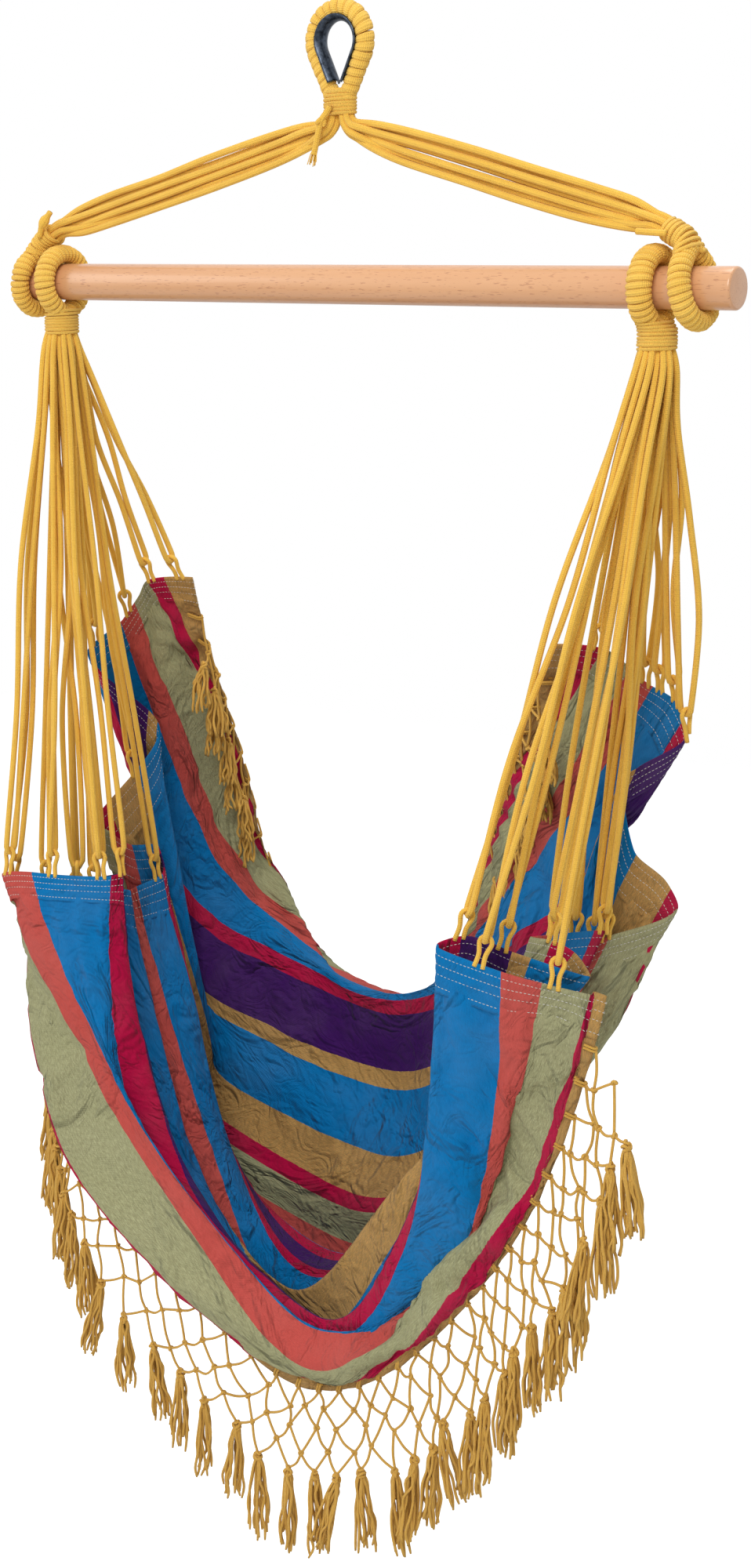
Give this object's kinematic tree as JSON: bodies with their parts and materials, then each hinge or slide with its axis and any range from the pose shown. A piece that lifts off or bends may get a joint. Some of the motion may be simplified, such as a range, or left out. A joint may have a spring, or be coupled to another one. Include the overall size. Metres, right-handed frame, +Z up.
{
  "type": "hammock chair",
  "caption": "Striped woven cloth seat hung on fanned cords from a round wooden spreader bar below a whipped rope eye, with knotted fringes and tassels.",
  "frame": {"origin": "inner crown of the steel thimble in the hanging eye, where a hook bears", "axes": "+Z up, +X along the spreader bar to its longer free end, -Y towards the front edge of the seat"},
  "size_m": [1.0411, 0.6066, 1.8415],
  "materials": {
    "golden_cord": "matt laid cotton cord, golden yellow",
    "fringe_thread": "matt twisted cotton thread, mustard",
    "beech": "satin clear lacquer on turned beech",
    "thimble_steel": "dull galvanised",
    "striped_cloth": "ribbed cotton in blue, crimson, purple, olive, coral and mustard stripes",
    "hem_cloth": "the same striped cotton, folded and topstitched in white"
  },
  "bodies": {
    "bridle": {"eye_thimble": "thimble_steel", "eye_core": "golden_cord", "eye_whipping": "golden_cord", "eye_throat_band": "golden_cord", "eye_tail": "golden_cord", "bridle_ring_core_left": "golden_cord", "bridle_ring_whipping_left": "golden_cord", "bridle_throat_band_left": "golden_cord", "bridle_cords_left": "golden_cord", "bridle_ring_tail_left": "golden_cord", "bridle_ring_core_right": "golden_cord", "bridle_ring_whipping_right": "golden_cord", "bridle_throat_band_right": "golden_cord", "bridle_cords_right": "golden_cord", "bridle_ring_tail_right": "golden_cord"},
    "bar": {"spreader_bar": "beech"},
    "seat": {"seat_ring_core_left": "golden_cord", "seat_ring_whipping_left": "golden_cord", "seat_throat_band_left": "golden_cord", "suspension_cords_left": "golden_cord", "hem_band_left": "hem_cloth", "seat_ring_core_right": "golden_cord", "seat_ring_whipping_right": "golden_cord", "seat_throat_band_right": "golden_cord", "suspension_cords_right": "golden_cord", "hem_band_right": "hem_cloth", "seat_cloth": "striped_cloth", "front_fringe": "fringe_thread", "back_fringe_left": "fringe_thread", "back_fringe_right": "fringe_thread"}
  },
  "joints": [
    {"name": "bar_slide", "type": "slide", "parent": "bridle", "child": "bar", "axis": [1, 0, 0], "range_m": [-0.03, 0.98]},
    {"name": "seat_swing", "type": "hinge", "parent": "bridle", "child": "seat", "pos_m": [0, 0, -0.29], "axis": [1, 0, 0], "range_deg": [-35, 35]}
  ]
}
